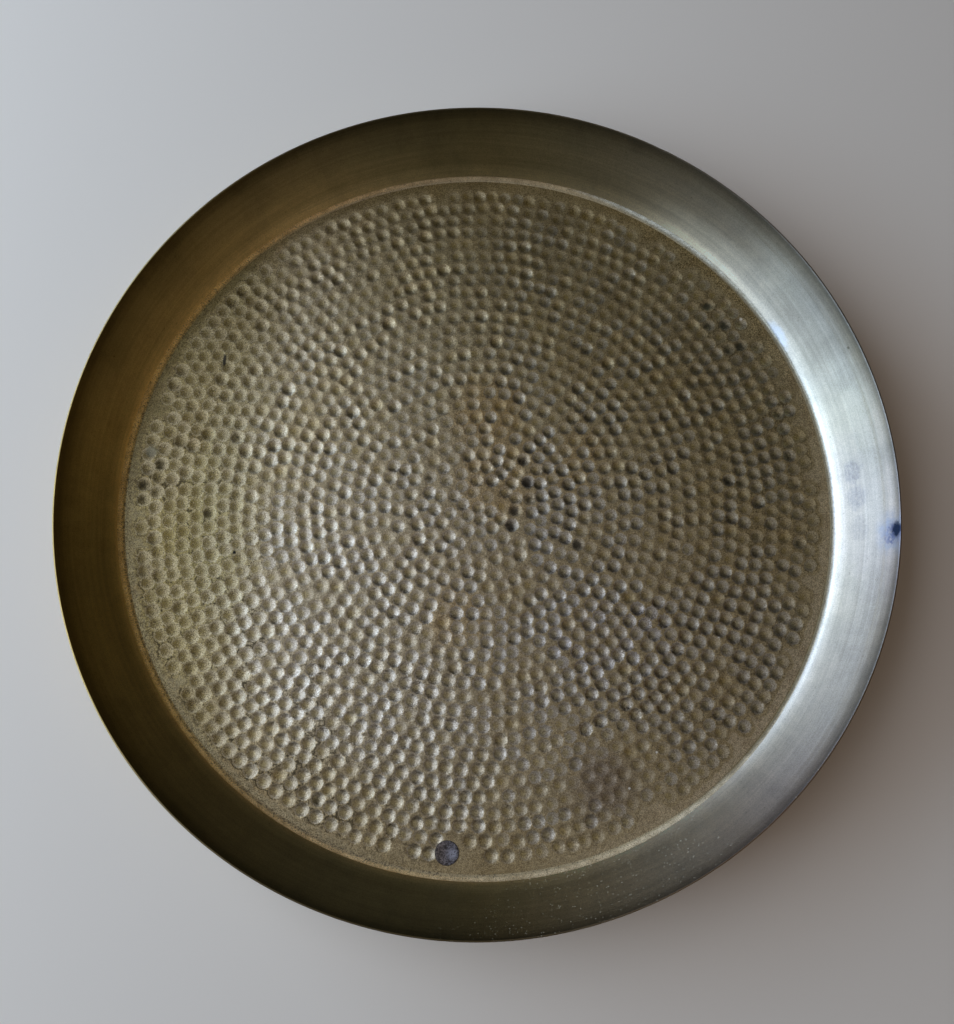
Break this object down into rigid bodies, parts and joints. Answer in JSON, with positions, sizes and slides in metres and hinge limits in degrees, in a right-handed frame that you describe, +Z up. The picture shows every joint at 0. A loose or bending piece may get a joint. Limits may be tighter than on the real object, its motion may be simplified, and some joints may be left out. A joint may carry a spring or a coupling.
{
  "type": "round serving tray",
  "caption": "Round brass serving tray with a flat hammered floor, a smooth flared wall and a plain cut rim.",
  "frame": {"origin": "centre of the tray's underside, on the surface it stands on", "axes": "+Z up along the tray's turning axis; -Y is the side nearest the viewer in the picture, +X to the viewer's right"},
  "size_m": [0.4998, 0.4998, 0.0469],
  "materials": {
    "hammered_brass": "hammered, dull olive patina with dark spots",
    "brushed_brass": "spun and brushed round the ring, worn satin",
    "braze": "dressed braze, golden, finely pitted",
    "grey_solder": "dull grey, mottled"
  },
  "bodies": {
    "root": {"hammered_floor": "hammered_brass", "flared_wall": "brushed_brass", "braze_bead": "braze", "solder_spot": "grey_solder"}
  },
  "joints": []
}
